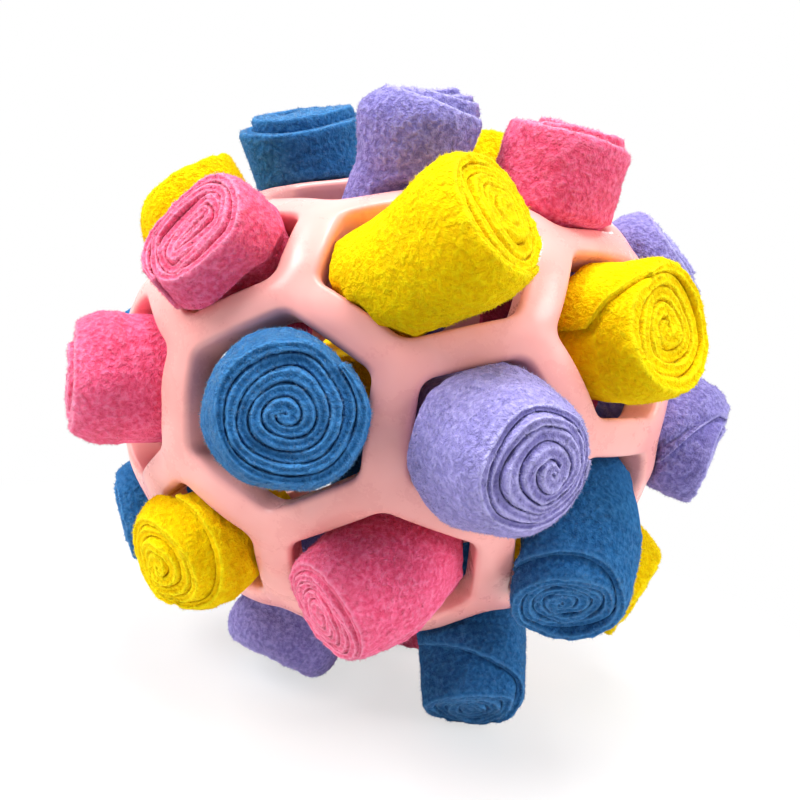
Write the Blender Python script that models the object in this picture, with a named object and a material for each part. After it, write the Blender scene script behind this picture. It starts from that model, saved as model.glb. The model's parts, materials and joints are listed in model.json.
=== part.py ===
"""Snuffle ball: a moulded rubber lattice ball with a wound fleece roll pushed into each of its 32 holes.

The lattice has 12 five-sided and 20 six-sided holes, as on a football. It is soft, so the rolls stuffed into
it press it out of round. The ball stands on four of the rolls, on the plane Z = 0, with its front facing -Y.
"""

import math
from typing import NamedTuple

import bmesh
import bpy
import numpy as np
from mathutils import Euler, Matrix, Vector

# Lengths are in metres and angles in degrees.

# Rubber lattice ball
BALL_RADIUS = 0.0575
BALL_WALL = 0.0072
RIB_WIDTH = 0.0095
RIB_INNER_WIDTH = 0.0065
RIB_ROUND = 0.0017
HOLE_CORNER_RADIUS = 0.0042
RIB_STATION_SHARE = 0.27
CUT_SHARE = 1 / 3
BALL_TURN = (23.2, 22.7, 1.0)

# How the stuffing presses the ball out of round: a stretch along three turned axes, and a dent on top
PRESS_TURN = (-52.9, -4.8, 7.1)
PRESS_SHARES = (1.04, 1.12, 0.84)
DENT_AZIMUTH = -33.8
DENT_ELEVATION = 72.7
DENT_SHARE = 0.20
DENT_SPREAD = 40.0

# Fleece rolls
ROLL_REACH = 0.0160
ROLL_DEPTH = 0.0118
HEAD_RADIUS = 0.0125
CORE_RADIUS = 0.0024
FLEECE_THICKNESS = 0.0025
TURN_GAP = 0.0011
CROWN_RISE = 0.0040
FOLD_HALF_WIDTH = 0.0034
HOLE_PLAY = 0.0024
HOLE_CLEARANCE = 0.0005
STEPS_A_TURN = 12
STEP_TURN = 360 / STEPS_A_TURN
TURN_BETWEEN_ROLLS = 137.5
TURNS_TRIED = 36
TAIL_WIDTH = 18.0
WALL_SAMPLES = 6

# How the ball stands
FOOT_STAND = 0.0095
FOOT_FLAT = 0.0005
FLOOR_CUTTER_SIZE = 0.4

RUBBER = ("satin_rubber", (0.90, 0.38, 0.33), 0.42)
FLEECE = {
    "pink": (0.86, 0.09, 0.24),
    "yellow": (0.95, 0.72, 0.01),
    "blue": (0.05, 0.16, 0.36),
    "lavender": (0.25, 0.20, 0.50),
}
FLEECE_ROUGHNESS = 0.95
WELD = 1e-6


class Roll(NamedTuple):
    """One roll: its colour, the way its hole faces, its lean and sideways place in the hole, and its shape.

    azimuth is 0 at the front and grows towards +X. clock is the way the roll leans from its hole's own direction,
    seen from outside: 0 is up and 90 is to the right. right_share and up_share are its place in the hole, as
    shares of HOLE_PLAY. reach_share and head_share are shares of ROLL_REACH and HEAD_RADIUS, crown_share of
    CROWN_RISE and fold_share of FOLD_HALF_WIDTH. A foot's reach is worked out from the floor.
    """

    colour: str
    azimuth: float
    elevation: float
    lean: float = 0.0
    clock: float = 0.0
    right_share: float = 0.0
    up_share: float = 0.0
    reach_share: float = 0.85
    head_share: float = 0.95
    crown_share: float = 0.0
    fold_share: float = 0.0
    foot: bool = False


ROLLS = (
    # Seen on the front
    Roll("lavender", 18, -2, 11, 24, 0.0, -0.4, 1.02, 1.02, crown_share=1.0),
    Roll("blue", -20, -4, 31, 52, 1.4, 0.9, 1.08, 0.98),
    Roll("yellow", 2, 32, 34, 87, -0.1, -1.0, 1.01, 0.95, crown_share=0.4),
    Roll("yellow", 48, 21, 8, -133, -0.8, -0.4, 0.48, 0.94),
    Roll("pink", -41, 28, 17, 148, 0.5, -0.5, 0.55, 0.96, fold_share=1.0),
    Roll("pink", 6, -38, 35, -77, -0.9, 0.5, 0.64, 1.00, crown_share=0.5),
    Roll("blue", 51, -21, 36, -127, -0.8, -0.7, 0.74, 0.97),
    Roll("yellow", -41, -36, 20, 0, 0.0, 0.5, 0.52, 0.94),
    # Seen round the edge
    Roll("pink", -62, -4, 9, -67, 0.2, 0.4, 0.57, 0.94),
    Roll("blue", -125, 58, 30, 45, 0.4, -0.4, 1.02, 1.02, crown_share=0.4),
    Roll("lavender", -41, 65, 24, 45, 2.0, 0.4, 0.95, 0.98, crown_share=0.5),
    Roll("pink", 43, 58, 6, -15, 0.0, 0.0, 0.71, 0.91),
    Roll("lavender", 92, 38, 16, -58, 0.3, 0.0, 0.50, 0.97),
    Roll("lavender", 81, 2, 12, -156, 0.0, -0.4, 0.46, 0.96),
    Roll("yellow", 96, -33, 21, -55, 0.2, 0.9, 1.00, 0.98),
    Roll("lavender", -41, -73, 8, -54, -0.9, 0.3, head_share=0.98, foot=True),
    Roll("blue", 55, -58, 26, -78, -0.1, -0.1, head_share=0.94, foot=True),
    Roll("blue", -88, -38, 20, 27, -0.3, 1.0, 0.55, 0.94),
    Roll("yellow", -84, 33, 16, 30, 0.4, 1.0, 0.48, 0.90),
    Roll("yellow", 139, 73, 17, -22, 0.0, -0.1, 0.67, 0.89),
    Roll("blue", -99, -2, 22, 3, -0.2, 0.6, 0.58, 0.90),
    # On the far side
    Roll("lavender", -137, -58, foot=True),
    Roll("yellow", -162, 2),
    Roll("blue", 139, -28),
    Roll("pink", 139, 36),
    Roll("pink", -129, 21),
    Roll("lavender", -174, 38),
    Roll("pink", 139, -65, foot=True),
    Roll("yellow", -132, -21),
    Roll("blue", -178, -32),
    Roll("pink", 118, 4),
    Roll("lavender", 160, 4),
)


def unit(vector):
    """The vector or each row of vectors, at length 1."""
    return vector / np.linalg.norm(vector, axis=-1, keepdims=True)


def facing(azimuth, elevation):
    """The unit direction at this azimuth, counted from -Y towards +X, and this elevation."""
    across, up = math.radians(azimuth), math.radians(elevation)
    return np.array([math.sin(across) * math.cos(up), -math.cos(across) * math.cos(up), math.sin(up)])


def turn_matrix(angles):
    return np.array(Euler([math.radians(angle) for angle in angles], "XYZ").to_matrix())


def pressed(points):
    """Points of the round ball moved to where the stuffing presses them: the stretch, then the dent."""
    axes = turn_matrix(PRESS_TURN)
    stretched = points @ axes @ np.diag(PRESS_SHARES) @ axes.T
    dent = facing(DENT_AZIMUTH, DENT_ELEVATION)
    nearness = (unit(points) @ dent - 1) / (1 - math.cos(math.radians(DENT_SPREAD)))
    return stretched - DENT_SHARE * BALL_RADIUS * np.exp(nearness)[:, None] * dent


def football_cells():
    """The corners of each cell on a unit sphere, anticlockwise from outside: an icosahedron with its corners cut."""
    bm = bmesh.new()
    bmesh.ops.create_icosphere(bm, subdivisions=1, radius=1)
    bmesh.ops.bevel(
        bm, geom=bm.verts[:], offset=100 * CUT_SHARE, offset_type="PERCENT", segments=1, affect="VERTICES"
    )
    bmesh.ops.recalc_face_normals(bm, faces=bm.faces[:])
    turn = turn_matrix(BALL_TURN)
    cells = [unit(np.array([vert.co for vert in face.verts])) @ turn.T for face in bm.faces]
    bm.free()
    return cells


def hole_ring(cell, radius, inset, corner_radius):
    """Three points a side of a cell's outline, inset, with rounded corners, on the sphere of this radius.

    The points of side i are the middle of its first corner's arc, that arc's end, and the next arc's start.
    """
    corners = cell * radius
    centre = corners.mean(axis=0)
    middles = (corners + np.roll(corners, -1, axis=0)) / 2
    apothem = np.linalg.norm(middles[0] - centre)
    arc_centres = centre + (corners - centre) * (1 - (inset + corner_radius) / apothem)
    sideways = unit(middles - centre) * corner_radius
    arc_middles = arc_centres + unit(corners - centre) * corner_radius
    starts = arc_centres + sideways
    ends = np.roll(arc_centres, -1, axis=0) + sideways
    return unit(np.stack([arc_middles, starts, ends], axis=1).reshape(-1, 3)) * radius


def rib_ring(cell, radius):
    """The points on the middle lines of the ribs round a cell, matching those of hole_ring."""
    corners = cell * radius
    following = np.roll(corners, -1, axis=0)
    starts = corners + (following - corners) * RIB_STATION_SHARE
    ends = following + (corners - following) * RIB_STATION_SHARE
    return unit(np.stack([corners, starts, ends], axis=1).reshape(-1, 3)) * radius


def cell_rings(cell):
    """The rings that a cell's half ribs run through, from the outer face over the rounded edge to the inner one."""
    inner_radius = BALL_RADIUS - BALL_WALL
    diagonal = math.sqrt(0.5)
    rings = [rib_ring(cell, BALL_RADIUS)]
    for across, down in ((0, 0), (diagonal, 1 - diagonal), (1, 1)):
        inset = RIB_WIDTH / 2 - RIB_ROUND * (1 - across)
        corner = HOLE_CORNER_RADIUS + RIB_ROUND * (1 - across)
        rings.append(hole_ring(cell, BALL_RADIUS - RIB_ROUND * down, inset, corner))
    rings.append(hole_ring(cell, inner_radius, RIB_INNER_WIDTH / 2, HOLE_CORNER_RADIUS))
    rings.append(rib_ring(cell, inner_radius))
    return [pressed(ring) for ring in rings]


def new_material(name, colour, roughness):
    material = bpy.data.materials.new(name)
    material.use_nodes = True
    shader = material.node_tree.nodes["Principled BSDF"]
    shader.inputs["Base Color"].default_value = (*colour, 1)
    shader.inputs["Roughness"].default_value = roughness
    shader.inputs["Metallic"].default_value = 0
    material.diffuse_color = (*colour, 1)
    return material


def new_object(name, bm, collection, material, parent):
    mesh = bpy.data.meshes.new(name)
    bm.to_mesh(mesh)
    bm.free()
    mesh.materials.append(material)
    mesh.shade_smooth()
    mesh.set_sharp_from_angle(angle=math.radians(35))
    obj = bpy.data.objects.new(name, mesh)
    obj.parent = parent
    collection.objects.link(obj)
    return obj


def lattice_ball(cells, collection, parent):
    """The rubber ball: bands of faces lofted between each cell's rings, welded along the ribs' middle lines."""
    bm = bmesh.new()
    for cell in cells:
        rings = [[bm.verts.new(point) for point in ring] for ring in cell_rings(cell)]
        for outer, inner in zip(rings, rings[1:]):
            for near, far in zip(range(-1, len(outer) - 1), range(len(outer))):
                bm.faces.new((outer[near], outer[far], inner[far], inner[near]))
    bmesh.ops.remove_doubles(bm, verts=bm.verts[:], dist=WELD)
    bmesh.ops.recalc_face_normals(bm, faces=bm.faces[:])
    return new_object("rubber_ball", bm, collection, new_material(*RUBBER), parent)


class Seat(NamedTuple):
    """Where a roll sits: the middle of its hole's mouth, a frame whose third column is its axis, and its walls."""

    centre: np.ndarray
    frame: np.ndarray
    walls: np.ndarray


class Winding(NamedTuple):
    """The size of a roll: its reach out of the hole, its loose end's radius there, its steps, crown and fold."""

    reach: float
    radius: float
    steps: int
    crown: float
    fold: float


def wall_points(rings):
    """Points along and down the ribs round a hole."""
    shares = np.linspace(0, 1, WALL_SAMPLES)
    found = []
    for upper, lower in zip(rings, rings[1:]):
        for share in shares:
            ring = upper * (1 - share) + lower * share
            following = np.roll(ring, -1, axis=0)
            found += [ring * (1 - along) + following * along for along in shares[:-1]]
    return np.concatenate(found)


def seat_of(roll, cells):
    """The seat of a roll in the hole that faces its way best, leaning as the roll does."""
    way = facing(roll.azimuth, roll.elevation)
    cell = max(cells, key=lambda corners: unit(corners.mean(axis=0)) @ way)
    rings = cell_rings(cell)
    centre = pressed(unit(cell.mean(axis=0))[None] * BALL_RADIUS)[0]
    spokes = rings[0] - rings[0].mean(axis=0)
    normal = unit(np.cross(spokes, np.roll(spokes, -1, axis=0)).sum(axis=0))
    upward = unit(np.array([0, 0, 1]) - normal[2] * normal)
    rightward = np.cross(upward, normal)
    clock, lean = math.radians(roll.clock), math.radians(roll.lean)
    sideways = math.cos(clock) * upward + math.sin(clock) * rightward
    axis = math.cos(lean) * normal + math.sin(lean) * sideways
    centre = centre + HOLE_PLAY * (roll.right_share * rightward + roll.up_share * upward)
    frame = np.array(Vector((0, 0, 1)).rotation_difference(Vector(axis)).to_matrix())
    return Seat(centre, frame, wall_points(rings) - centre)


def rest_height():
    """The height of the ball's middle above the floor."""
    return BALL_RADIUS + FOOT_STAND


def winding_of(roll, slack=0.0):
    """The size of a roll, whose loose end stands half a turn's pitch out of its mean circle, and slack more."""
    pitch = FLEECE_THICKNESS + TURN_GAP
    fold = FOLD_HALF_WIDTH * roll.fold_share
    radius = HEAD_RADIUS * roll.head_share + pitch / 2 + slack
    turns = (radius - fold - FLEECE_THICKNESS / 2 - CORE_RADIUS) / pitch
    crown = CROWN_RISE * roll.crown_share
    return Winding(ROLL_REACH * roll.reach_share, radius, int(turns * STEPS_A_TURN), crown, fold)


def fit_in_hole(winding, seat, turn):
    """How a roll fits its hole when its winding is turned so: the taper that it needs, and its slack.

    The taper is how much narrower the roll gets for each metre inwards, so that it clears the ribs.
    """
    across, along, height = (seat.walls @ seat.frame).T
    reached = (height < winding.reach) & (height > -ROLL_DEPTH)
    angle = np.degrees(np.arctan2(along, across)) - turn
    behind = np.maximum((winding.steps * STEP_TURN + TAIL_WIDTH - angle) % 360 - TAIL_WIDTH, 0)
    outside = winding.radius - (FLEECE_THICKNESS + TURN_GAP) * behind / 360
    outside += winding.fold * (np.abs(np.cos(np.radians(angle))) - 1)
    room = np.hypot(across, along) - HOLE_CLEARANCE
    needed = (1 - room / outside) / (winding.reach - height)
    return max(needed[reached].max(), 0), max((room - outside)[reached].min(), 0)


def wound_strip(winding, taper):
    """A long flat bar of fleece, cut into slices, wound into a spiral and narrowed towards its inner end.

    Each turn lies TURN_GAP off the last. A crown lifts the inner turns, and a fold keeps the core flat.
    """
    pitch = (FLEECE_THICKNESS + TURN_GAP) / STEPS_A_TURN
    outer_middle = winding.radius - winding.fold - FLEECE_THICKNESS / 2
    bm = bmesh.new()
    bmesh.ops.create_cube(bm, size=1)
    long_edges = [edge for edge in bm.edges if edge.verts[0].co.x != edge.verts[1].co.x]
    bmesh.ops.subdivide_edges(bm, edges=long_edges, cuts=winding.steps - 1, use_grid_fill=True)
    for vert in bm.verts:
        along, up = vert.co.x + 0.5, vert.co.z + 0.5
        angle = math.radians(winding.steps * STEP_TURN * along)
        radius = outer_middle - pitch * winding.steps * (1 - along) - FLEECE_THICKNESS * vert.co.y
        height = (winding.reach + winding.crown * (1 - along)) * up - ROLL_DEPTH * (1 - up)
        width = 1 - taper * (winding.reach - height)
        flat = math.copysign(winding.fold, math.cos(angle))
        vert.co = ((radius * math.cos(angle) + flat) * width, radius * math.sin(angle) * width, height)
    return bm


def reaching_floor(winding, seat, frame):
    """The winding of a foot, which goes down to the floor and a little past it, where it is cut."""
    bm = wound_strip(winding, 0)
    lowest = min((frame @ vert.co).z for vert in bm.verts)
    bm.free()
    missing = rest_height() + FOOT_FLAT + seat.centre[2] + lowest
    return winding._replace(reach=winding.reach + missing / -frame[2][2])


def least_gap(bm):
    """The least distance between one turn of a wound strip and the next, at its narrow inner end."""
    spokes = {}
    for vert in bm.verts:
        if vert.co.z < WELD - ROLL_DEPTH:
            angle = round(math.degrees(math.atan2(vert.co.y, vert.co.x)))
            spokes.setdefault(angle % 360, []).append(vert.co.to_2d().length)
    gaps = []
    for radii in map(sorted, spokes.values()):
        gaps += [outer - inner for inner, outer in zip(radii[1::2], radii[2::2])]
    return min(gaps) * math.cos(math.radians(STEP_TURN / 2))


def fleece_roll(name, roll, seat, first_turn, collection, parent):
    """One roll, with its origin at the middle of its hole and its local Z out along its axis.

    It is turned about that axis so that its loose end lies where it needs the least taper. One that would be
    loose in its hole is wound fatter.
    """
    turns = [first_turn + 360 * place / TURNS_TRIED for place in range(TURNS_TRIED)]
    winding = winding_of(roll)
    slack = min(fit_in_hole(winding, seat, turn) for turn in turns)[1]
    winding = winding_of(roll, slack)
    turn = min(turns, key=lambda tried: fit_in_hole(winding, seat, tried))
    frame = Matrix(seat.frame.tolist()) @ Matrix.Rotation(math.radians(turn), 3, "Z")
    if roll.foot:
        winding = reaching_floor(winding, seat, frame)
    taper = fit_in_hole(winding, seat, turn)[0]
    bm = wound_strip(winding, taper)
    gap = least_gap(bm)
    end_share = 1 - taper * (winding.reach + ROLL_DEPTH)
    print(f"{name}: reach {winding.reach * 1000:.1f} mm, end share {end_share:.2f}, gap {gap * 1000:.2f} mm")
    material = new_material(name, FLEECE[roll.colour], FLEECE_ROUGHNESS)
    obj = new_object(name, bm, collection, material, parent)
    obj.matrix_local = Matrix.Translation(seat.centre) @ frame.to_4x4()
    return obj, gap


def cut_flat(feet, collection):
    """Cuts the feet off level with the floor, which is the top of one wide cutter."""
    bpy.ops.mesh.primitive_cube_add(size=FLOOR_CUTTER_SIZE, location=(0, 0, -FLOOR_CUTTER_SIZE / 2))
    cutter = bpy.context.object
    cutter.name = "floor_cutter"
    cutter.display_type = "WIRE"
    cutter.hide_render = True
    for owner in list(cutter.users_collection):
        owner.objects.unlink(cutter)
    collection.objects.link(cutter)
    for foot in feet:
        modifier = foot.modifiers.new("floor", "BOOLEAN")
        modifier.operation = "DIFFERENCE"
        modifier.object = cutter


def stand_on_origin(stand, objects):
    """Moves the whole ball sideways, so that the origin lies under the middle of its bounding box."""
    bpy.context.view_layer.update()
    points = np.concatenate([[obj.matrix_world @ vert.co for vert in obj.data.vertices] for obj in objects])
    middle = (points.min(axis=0) + points.max(axis=0)) / 2
    stand.location = (-middle[0], -middle[1], rest_height())


def new_collection(name):
    collection = bpy.data.collections.new(name)
    bpy.context.scene.collection.children.link(collection)
    return collection


def main():
    for obj in list(bpy.data.objects):
        bpy.data.objects.remove(obj, do_unlink=True)
    parts, cutters = new_collection("snuffle_ball"), new_collection("cutters")
    stand = bpy.data.objects.new("ball_middle", None)
    parts.objects.link(stand)
    cells = football_cells()
    objects = [lattice_ball(cells, parts, stand)]
    feet, gaps, counts = [], [], dict.fromkeys(FLEECE, 0)
    for order, roll in enumerate(ROLLS):
        counts[roll.colour] += 1
        name = f"{roll.colour}_roll_{counts[roll.colour]}"
        first_turn = TURN_BETWEEN_ROLLS * order
        obj, gap = fleece_roll(name, roll, seat_of(roll, cells), first_turn, parts, stand)
        objects.append(obj)
        gaps.append(gap)
        if roll.foot:
            feet.append(obj)
    print(f"least gap of a wound strip to itself: {min(gaps) * 1000:.2f} mm")
    stand_on_origin(stand, objects)
    cut_flat(feet, cutters)


main()
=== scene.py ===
"""Snuffle ball, dressed: a moulded rubber lattice ball with a wound fleece roll in each of its 32 holes.

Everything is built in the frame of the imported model: metres, +Z up, the front facing -Y. The sizes of the
rubber and the fleece are given in millimetres, as a maker would write them, and are turned to metres where a
mesh is made.
"""

import json
import logging
import math
from dataclasses import dataclass, field
from enum import Enum

import bmesh
import bpy
import numpy as np
from mathutils import Euler, Matrix, Vector

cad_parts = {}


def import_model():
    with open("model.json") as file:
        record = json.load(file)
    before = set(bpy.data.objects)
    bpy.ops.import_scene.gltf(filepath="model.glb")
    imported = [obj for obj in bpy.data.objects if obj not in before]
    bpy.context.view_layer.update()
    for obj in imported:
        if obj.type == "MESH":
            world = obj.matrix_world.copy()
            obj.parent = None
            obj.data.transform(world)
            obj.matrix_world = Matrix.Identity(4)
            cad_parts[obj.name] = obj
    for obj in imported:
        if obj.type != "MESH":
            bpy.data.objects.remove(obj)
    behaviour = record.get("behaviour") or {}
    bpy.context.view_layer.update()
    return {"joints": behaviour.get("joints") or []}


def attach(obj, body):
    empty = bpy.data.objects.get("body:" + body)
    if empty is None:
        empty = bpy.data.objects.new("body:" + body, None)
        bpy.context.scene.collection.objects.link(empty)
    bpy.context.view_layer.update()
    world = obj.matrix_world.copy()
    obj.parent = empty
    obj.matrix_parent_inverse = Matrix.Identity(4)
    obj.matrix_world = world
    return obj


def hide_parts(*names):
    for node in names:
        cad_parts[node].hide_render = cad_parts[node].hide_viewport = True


MM = 0.001
Point = tuple[float, float, float]
Colour = tuple[float, float, float]

log = logging.getLogger("snuffle_ball")


# Shared geometry


def unit(vectors: np.ndarray) -> np.ndarray:
    """The vector, or each row of vectors, at length 1."""
    return vectors / np.maximum(np.linalg.norm(vectors, axis=-1, keepdims=True), 1e-12)


def facing(azimuth: float, elevation: float) -> np.ndarray:
    """The unit direction at this azimuth in degrees, counted from -Y towards +X, and this elevation."""
    across, up = math.radians(azimuth), math.radians(elevation)
    return np.array([math.sin(across) * math.cos(up), -math.cos(across) * math.cos(up), math.sin(up)])


def eased(values: np.ndarray) -> np.ndarray:
    """A smooth step: 0 below 0, 1 above 1, and 3t^2 - 2t^3 between."""
    held = np.clip(values, 0, 1)
    return held * held * (3 - 2 * held)


def ring_quads(rows: int, columns: int) -> np.ndarray:
    """The faces of a tube whose points run round each row, as rows of four point numbers.

    Args:
        rows: How many rings of points there are.
        columns: How many points each ring has.

    Returns:
        One quad for each step along and round, closed round the ring.
    """
    row, column = np.meshgrid(np.arange(rows - 1), np.arange(columns), indexing="ij")
    after = (column + 1) % columns
    low, high = row * columns, (row + 1) * columns
    return np.stack([low + column, low + after, high + after, high + column], axis=-1).reshape(-1, 4)


def swept_volume(points: np.ndarray, quads: np.ndarray) -> float:
    """Six times the signed volume that quads enclose: the sum of each quad's two corner determinants."""
    a, b, c, d = (points[quads[:, corner]] for corner in range(4))
    return float((a * np.cross(b, c)).sum() + (a * np.cross(c, d)).sum())


def new_piece(
    name: str, points: np.ndarray, faces: list[list[int]], material: bpy.types.Material
) -> bpy.types.Object:
    """A smooth-shaded mesh object at the origin, with its place in its mesh.

    Args:
        name: The object's name.
        points: Its points in metres, in the row frame.
        faces: Its faces, as lists of point numbers.
        material: What it is made of.

    Returns:
        The object, linked to the scene.
    """
    mesh = bpy.data.meshes.new(name)
    mesh.from_pydata(points.tolist(), [], faces)
    mesh.materials.append(material)
    mesh.shade_smooth()
    mesh.update()
    piece = bpy.data.objects.new(name, mesh)
    bpy.context.scene.collection.objects.link(piece)
    return piece


@dataclass
class Waves:
    """A smooth random field: the sum of cosine waves that run in seeded random directions.

    Attributes:
        length: The waves' mean length, in millimetres.
        seed: The seed of the directions and phases.
        count: How many waves are summed.
    """

    length: float
    seed: int
    count: int = 28

    LENGTH_SPREAD = (0.7, 1.5)

    def drawn(self) -> tuple[np.ndarray, np.ndarray, np.ndarray]:
        """The waves' unit directions, their radians per millimetre and their phases."""
        draw = np.random.default_rng(self.seed)
        ways = unit(draw.normal(size=(self.count, 3)))
        rates = math.tau / (self.length * draw.uniform(*self.LENGTH_SPREAD, self.count))
        return ways, rates, draw.uniform(0, math.tau, self.count)

    def at(self, points: np.ndarray) -> np.ndarray:
        """The field at rows of points in millimetres, about -2 to 2, with a mean square of 1."""
        ways, rates, phases = self.drawn()
        swell = np.cos(points @ (ways * rates[:, None]).T + phases)
        return swell.sum(axis=1) * math.sqrt(2 / self.count)

    def uphill(self, points: np.ndarray) -> np.ndarray:
        """The way in which the field grows at rows of points in millimetres, with a mean square near 1."""
        ways, rates, phases = self.drawn()
        slopes = -np.sin(points @ (ways * rates[:, None]).T + phases)
        return (slopes * rates * self.length / math.tau) @ ways * math.sqrt(2 / self.count)


# Shader maths


class Signal:
    """A node's output that can be used in sums: each operator adds its Math node."""

    def __init__(self, bench: "NodeBench", socket: bpy.types.NodeSocket) -> None:
        """Wraps a socket of the bench's tree."""
        self.bench = bench
        self.socket = socket

    def maths(self, operation: str, *values: "Signal | float") -> "Signal":
        """The result of a Math node with these values as its inputs."""
        return self.bench.node("ShaderNodeMath", {"operation": operation}, dict(enumerate(values)))

    def __add__(self, other: "Signal | float") -> "Signal":
        """This plus the other."""
        return self.maths("ADD", self, other)

    def __sub__(self, other: "Signal | float") -> "Signal":
        """This less the other."""
        return self.maths("SUBTRACT", self, other)

    def __rsub__(self, other: "Signal | float") -> "Signal":
        """The other less this."""
        return self.maths("SUBTRACT", other, self)

    def __mul__(self, other: "Signal | float") -> "Signal":
        """This times the other."""
        return self.maths("MULTIPLY", self, other)

    __radd__ = __add__
    __rmul__ = __mul__

    def most(self, other: "Signal | float") -> "Signal":
        """The larger of the two."""
        return self.maths("MAXIMUM", self, other)

    def spread(self, low: float, high: float) -> "Signal":
        """This, moved so that low becomes 0 and high becomes 1, with a smooth stop at both ends."""
        inputs = {"Value": self, "From Min": low, "From Max": high}
        return self.bench.node("ShaderNodeMapRange", {"interpolation_type": "SMOOTHSTEP"}, inputs)


class NodeBench:
    """Makes the nodes of one tree."""

    def __init__(self, tree: bpy.types.NodeTree) -> None:
        """Works on this tree."""
        self.tree = tree

    def connect(self, target: bpy.types.NodeSocket, value: "Signal | float | tuple") -> None:
        """Links a signal to a socket, or sets the socket to a plain value."""
        if isinstance(value, Signal):
            self.tree.links.new(value.socket, target)
        elif isinstance(value, tuple) and len(value) < len(target.default_value):
            target.default_value = (*value, 1)
        else:
            target.default_value = value

    def node(self, kind: str, settings: dict, inputs: dict, output: str | int = 0) -> Signal:
        """Adds a node.

        Args:
            kind: The node's type.
            settings: Its own settings, set before its inputs, by name.
            inputs: Values or signals for its sockets, by name or number.
            output: Which output is wanted.

        Returns:
            That output.
        """
        made = self.tree.nodes.new(kind)
        for setting, value in settings.items():
            setattr(made, setting, value)
        for socket, value in inputs.items():
            self.connect(made.inputs[socket], value)
        return Signal(self, made.outputs[output])

    def seen(self) -> Signal:
        """1 for rays from the camera and for mirrored and refracted ones, and 0 for the light itself."""
        names = ("Is Camera Ray", "Is Glossy Ray", "Is Transmission Ray")
        camera, mirrored, refracted = (self.node("ShaderNodeLightPath", {}, {}, name) for name in names)
        return camera.most(mirrored).most(refracted)


class ShaderBench(NodeBench):
    """Makes one material's nodes."""

    def __init__(self, name: str) -> None:
        """Starts a material of this name with a bare Principled BSDF."""
        self.material = bpy.data.materials.new(name)
        self.material.use_nodes = True
        super().__init__(self.material.node_tree)
        self.shader = self.tree.nodes["Principled BSDF"]
        self.place = self.node("ShaderNodeTexCoord", {}, {}, "Object")

    def noise(self, size: float, detail: float = 2.0, distortion: float = 0.0) -> Signal:
        """Cloudy noise whose patches are about size millimetres across."""
        inputs = {"Vector": self.place, "Scale": 1 / (size * MM), "Detail": detail, "Distortion": distortion}
        return self.node("ShaderNodeTexNoise", {}, inputs)

    def attribute(self, name: str) -> Signal:
        """A number that the mesh stores for each of its points."""
        return self.node("ShaderNodeAttribute", {"attribute_name": name}, {}, "Fac")

    def mix(self, share: Signal | float, first: Signal | Colour, second: Signal | Colour) -> Signal:
        """A colour between two others."""
        inputs = {0: share, 6: first, 7: second}
        return self.node("ShaderNodeMix", {"data_type": "RGBA"}, inputs, 2)

    def bump(self, height: Signal, depth: float, strength: float = 1.0) -> Signal:
        """The surface normal, tilted by a height whose 1 is depth millimetres."""
        inputs = {"Height": height, "Distance": depth * MM, "Strength": strength}
        return self.node("ShaderNodeBump", {}, inputs, "Normal")

    def finish(self, **sockets: "Signal | float | tuple") -> bpy.types.Material:
        """Sets the shader's sockets, whose names have _ for a space, and gives the material."""
        for name, value in sockets.items():
            self.connect(self.shader.inputs[name.replace("_", " ")], value)
        return self.material


@dataclass(frozen=True)
class RubberFinish:
    """Satin moulded rubber: a soft colour, deeper and paler in places, with a faint ripple from the mould.

    Attributes:
        colour: Its colour.
        deep: The colour of its deeper patches.
        pale: The colour of its paler ones.
        roughness: How rough it is where it has no bloom.
        deep_size: How large the deeper patches are, in millimetres.
        pale_size: How large the paler ones are.
        ripple_size: How far apart the ripples are.
        ripple_depth: How deep they are.
        grain_size: How coarse the grain is.
    """

    colour: Colour = (0.93, 0.41, 0.375)
    deep: Colour = (0.88, 0.34, 0.31)
    pale: Colour = (0.95, 0.50, 0.46)
    roughness: float = 0.27
    deep_size: float = 14.0
    pale_size: float = 6.0
    ripple_size: float = 4.5
    ripple_depth: float = 0.20
    grain_size: float = 0.5

    def material(self) -> bpy.types.Material:
        """The rubber's material."""
        bench = ShaderBench("salmon_rubber")
        clouds = bench.noise(self.deep_size, 3).spread(0.35, 0.7)
        grain = bench.noise(self.grain_size, 2)
        bloom = bench.noise(self.pale_size, 2, 0.4).spread(0.35, 0.75)
        colour = bench.mix(clouds * 0.55, self.colour, self.deep)
        colour = bench.mix(bloom * 0.25, colour, self.pale)
        ripple = bench.noise(self.ripple_size, 1) * 0.9 + grain * 0.04
        return bench.finish(
            Base_Color=colour,
            Roughness=self.roughness + (bloom - 0.5) * 0.06 + grain * 0.05,
            Normal=bench.bump(ripple, self.ripple_depth, 0.5),
            Specular_IOR_Level=0.45,
        )


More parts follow.
